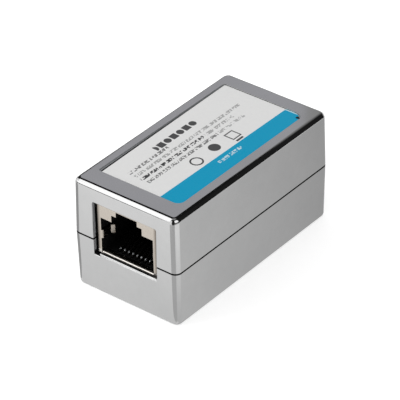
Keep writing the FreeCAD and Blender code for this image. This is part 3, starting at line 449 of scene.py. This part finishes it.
def tin_plated_sheet():
    """Rolled sheet with bright tin plate: softer than chrome, with fine draw lines and a warm cast.

    It is painted darker towards its sides, as the shade beside the port walls, and painted pale where the
    lip is rolled over, as a highlight.
    """
    material, tree = new_material("tin_plated_steel_sheet")
    lines = grain(tree, size=0.25, detail=3.0, stretch=(1.0, 14.0, 14.0))
    across, along, up = place_in_mm(tree)
    plate = add(tree, "Mix", {"Factor": lines, FIRST: linear("#CAC2B7"), SECOND: linear("#D5CCC2")},
                data_type="RGBA")[BLEND]
    # Painted shade: darker towards the sides, beside the port walls.
    side = add(tree, "Math", {0: across}, operation="ABSOLUTE")[0]
    side_shade = add(tree, "MapRange", {"Value": side, "From Min": SIDE_SHADE_FROM,
                                     "From Max": SIDE_SHADE_FULL})["Result"]
    plate = add(tree, "Mix", {"Factor": side_shade, FIRST: plate, SECOND: linear("#685F56")},
                data_type="RGBA")[BLEND]
    depth = add(tree, "Math", {0: along}, operation="ABSOLUTE")[0]
    # Painted highlight: the rolled lip is painted pale, as the light that it catches.
    rolled = both(tree, add(tree, "Math", {0: up, 1: ROLLED_BELOW}, operation="LESS_THAN")[0],
                  add(tree, "Math", {0: depth, 1: ROLLED_BEYOND}, operation="GREATER_THAN")[0])
    plate = add(tree, "Mix", {"Factor": rolled, FIRST: plate, SECOND: linear("#F4EFE8")},
                data_type="RGBA")[BLEND]
    roughness = add(tree, "MapRange", {"Value": lines, "To Min": 0.17, "To Max": 0.28})["Result"]
    roughness = add(tree, "MapRange", {"Value": rolled, "To Min": roughness, "To Max": 0.36})["Result"]
    relief = add(tree, "Bump", {"Height": lines, "Distance": DRAW_LINE_DEPTH * MM,
                                "Strength": 1.0})["Normal"]
    surface = add(tree, "BsdfPrincipled", {"Base Color": plate, "Metallic": 1.0, "Roughness": roughness,
                                           "Normal": relief})
    add(tree, "OutputMaterial", {"Surface": surface["BSDF"]})
    return material


# How deep the mould's spark texture is, in millimetres.
SPARK_DEPTH = 0.006


def jack_moulding():
    """Glass-filled polyester moulding: near black, matt, with the mould's fine spark texture."""
    material, tree = new_material("black_polyester_moulding")
    spark = grain(tree, size=0.18, detail=3.0)
    shade = add(tree, "Mix", {"Factor": spark, FIRST: linear("#070708"), SECOND: linear("#101011")},
                data_type="RGBA")[BLEND]
    roughness = add(tree, "MapRange", {"Value": spark, "To Min": 0.45, "To Max": 0.6})["Result"]
    relief = add(tree, "Bump", {"Height": spark, "Distance": SPARK_DEPTH * MM, "Strength": 1.0})["Normal"]
    surface = add(tree, "BsdfPrincipled", {"Base Color": shade, "Roughness": roughness, "Normal": relief})
    add(tree, "OutputMaterial", {"Surface": surface["BSDF"]})
    return material


# The board's copper tracks: pitch and rise in millimetres, and half their width as a share of the pitch.
TRACK_PITCH = 1.02
TRACK_RISE = 0.03
TRACK_HALF_SHARE = 0.22


def board_laminate():
    """Fibreglass board under green solder mask, with the copper tracks showing as lighter stripes."""
    material, tree = new_material("green_masked_fibreglass")
    across = place_in_mm(tree)["X"]
    step = add(tree, "Math", {0: across, 1: TRACK_PITCH}, operation="DIVIDE")[0]
    step = add(tree, "Math", {0: step}, operation="FRACT")[0]
    track = band(tree, step, 0.5, TRACK_HALF_SHARE)
    mask = add(tree, "Mix", {"Factor": track, FIRST: linear("#0B3A20"), SECOND: linear("#17603A")},
               data_type="RGBA")[BLEND]
    mask = add(tree, "Mix", {"Factor": grain(tree, size=0.9), FIRST: mask, SECOND: linear("#0E4427")},
               data_type="RGBA")[BLEND]
    relief = add(tree, "Bump", {"Height": track, "Distance": TRACK_RISE * MM, "Strength": 1.0})["Normal"]
    surface = add(tree, "BsdfPrincipled", {"Base Color": mask, "Roughness": 0.3, "Normal": relief})
    add(tree, "OutputMaterial", {"Surface": surface["BSDF"]})
    return material


# Where the contact wires bend over at their front (distance from the middle, height), in millimetres; the
# painted highlight sits there.
BEND_CENTRE = (20.68, 10.03)
BEND_RADIUS = 0.19


def contact_wire():
    """Drawn bronze wire under matt nickel: painted near black as shade, a painted highlight at the bend,
    draw lines along it.
    """
    material, tree = new_material("nickel_plated_bronze_wire")
    lines = grain(tree, size=0.08, stretch=(1.0, 12.0, 1.0))
    _, along, up = place_in_mm(tree)
    depth = add(tree, "Math", {0: along}, operation="ABSOLUTE")[0]
    # Painted light and shade: the wires are painted near black as the shade inside the jack, and pale at
    # the bend as a highlight.
    bend = within(tree, depth, up, BEND_CENTRE, BEND_RADIUS)
    plate = add(tree, "Mix", {"Factor": lines, FIRST: linear("#1F1E1D"), SECOND: linear("#2B2A28")},
                data_type="RGBA")[BLEND]
    plate = add(tree, "Mix", {"Factor": bend, FIRST: plate, SECOND: linear("#C4C8CB")},
                data_type="RGBA")[BLEND]
    roughness = add(tree, "MapRange", {"Value": lines, "To Min": 0.38, "To Max": 0.5})["Result"]
    relief = add(tree, "Bump", {"Height": lines, "Distance": DRAW_LINE_DEPTH * MM,
                                "Strength": 1.0})["Normal"]
    surface = add(tree, "BsdfPrincipled", {"Base Color": plate, "Metallic": 1.0, "Roughness": roughness,
                                           "Normal": relief})
    add(tree, "OutputMaterial", {"Surface": surface["BSDF"]})
    return material


def coat(names, material):
    """Gives CAD nodes their finish."""
    for name in names:
        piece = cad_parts[name]
        if not piece.material_slots:
            piece.data.materials.append(material)
        for place in piece.material_slots:
            place.material = material


def finish_pieces():
    """Every piece in its own finish."""
    coat(["upper_shell", "lower_shell"], chrome_plate())
    coat(["top_label"], label_film())
    coat(["circuit_board"], board_laminate())
    coat(["front_jack_shield", "rear_jack_shield"], tin_plated_sheet())
    coat([f"{end}_{piece}" for end in ("front", "rear") for piece in ("jack_housing", "contact_carrier")],
         jack_moulding())
    wires = [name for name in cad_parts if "_contact_" in name and not name.endswith("carrier")]
    coat(wires, contact_wire())


def make_world():
    """Plain white all round; what falls on things is less than what the camera and a mirror show."""
    world = bpy.data.worlds.new("plain_white_studio")
    world.use_nodes = True
    bpy.context.scene.world = world
    tree = world.node_tree
    tree.nodes.clear()
    path = add(tree, "LightPath", {})
    seen = add(tree, "Math", {0: path["Is Camera Ray"], 1: path["Is Glossy Ray"]}, operation="MAXIMUM")[0]
    seen = add(tree, "Math", {0: seen, 1: path["Is Transmission Ray"]}, operation="MAXIMUM")[0]
    light = add(tree, "Background", {"Color": (1, 1, 1, 1), "Strength": SKY_LEVEL})[0]
    white = add(tree, "Background", {"Color": (1, 1, 1, 1), "Strength": 1.0})[0]
    add(tree, "OutputWorld", {"Surface": add(tree, "MixShader", {0: seen, 1: light, 2: white})[0]})


def as_stage(name, shape, material):
    """A finished shape as a piece of the studio round the object."""
    mesh = bpy.data.meshes.new(name)
    shape.to_mesh(mesh)
    shape.free()
    mesh.materials.append(material)
    piece = bpy.data.objects.new(name, mesh)
    bpy.context.scene.collection.objects.link(piece)
    return piece


def make_floor():
    """A pale table that holds the shadow and glows enough to meet the white behind it."""
    material, tree = new_material("white_table_board")
    path = add(tree, "LightPath", {})
    mirrored = add(tree, "Math", {0: path["Is Glossy Ray"], 1: path["Is Transmission Ray"]},
                   operation="MAXIMUM")[0]
    glow = add(tree, "Math", {0: mirrored, 1: FLOOR_GLOW_MIRRORED}, operation="MULTIPLY")[0]
    glow = add(tree, "Math", {0: path["Is Camera Ray"], 1: FLOOR_GLOW_SEEN, 2: glow},
               operation="MULTIPLY_ADD")[0]
    surface = add(tree, "BsdfPrincipled", {"Base Color": linear("#EDEDED"), "Roughness": 0.9,
                                           "Specular IOR Level": 0.0, "Emission Color": (1, 1, 1, 1),
                                           "Emission Strength": glow})
    add(tree, "OutputMaterial", {"Surface": surface["BSDF"]})
    shape = bmesh.new()
    bmesh.ops.create_circle(shape, cap_ends=True, segments=96, radius=FLOOR_RADIUS)
    bmesh.ops.translate(shape, vec=(0, 0, -FLOOR_DROP), verts=shape.verts)
    as_stage("table", shape, material)


def make_card(name, axis, radii, heights, azimuths, glow, tint="#FFFFFF"):
    """An edge swept round an upright axis into a card that only the metal sees."""
    material, tree = new_material(name)
    if isinstance(glow, tuple):
        way, near, far, near_level, far_level = glow
        place = add(tree, "TexCoord", {})["Object"]
        run = add(tree, "VectorMath", {0: place, 1: way}, operation="DOT_PRODUCT")["Value"]
        glow = add(tree, "MapRange", {"Value": run, "From Min": near * MM, "From Max": far * MM,
                                      "To Min": near_level, "To Max": far_level})["Result"]
    light = add(tree, "Emission", {"Color": linear(tint), "Strength": glow})[0]
    add(tree, "OutputMaterial", {"Surface": light})
    centre = Vector((*axis, 0.0)) * MM
    start, end = (math.radians(angle) for angle in azimuths)
    shape = bmesh.new()
    ends = [shape.verts.new(centre + (direction(start, 0.0) * radius + Vector((0, 0, height))) * MM)
            for radius, height in zip(radii, heights)]
    edge = shape.edges.new(ends)
    bmesh.ops.spin(shape, geom=[edge], cent=centre, axis=(0, 0, 1), angle=end - start, steps=48)
    card = as_stage(name, shape, material)
    card.visible_camera = False
    card.visible_diffuse = False
    card.visible_shadow = False


def make_softbox():
    """The lamp that lights the matt surfaces; the metal mirrors the cards instead of it."""
    data = bpy.data.lights.new("softbox", "AREA")
    data.shape = "RECTANGLE"
    data.size, data.size_y = SOFTBOX_SIZE
    data.energy = SOFTBOX_RADIANCE * math.pi * data.size * data.size_y
    lamp = bpy.data.objects.new("softbox", data)
    bpy.context.scene.collection.objects.link(lamp)
    away = direction(SOFTBOX_AZIMUTH, SOFTBOX_ELEVATION)
    lamp.location = away * SOFTBOX_DISTANCE
    lamp.rotation_mode = "QUATERNION"
    lamp.rotation_quaternion = away.to_track_quat("Z", "Y")
    lamp.visible_glossy = False


def make_camera():
    """The photograph's viewpoint."""
    data = bpy.data.cameras.new("camera")
    data.lens = LENS
    data.sensor_width = SENSOR
    data.clip_start = 1 * MM
    camera = bpy.data.objects.new("camera", data)
    bpy.context.scene.collection.objects.link(camera)
    away = direction(AZIMUTH, ELEVATION)
    camera.location = AIM + away * DISTANCE
    camera.rotation_mode = "QUATERNION"
    camera.rotation_quaternion = away.to_track_quat("Z", "Y") @ Quaternion((0, 0, 1), -ROLL)
    bpy.context.scene.camera = camera


finish_pieces()
make_world()
make_floor()
for name, card in CARDS.items():
    make_card(name, *card)
make_softbox()
make_camera()
bpy.context.scene.view_settings.view_transform = "Standard"
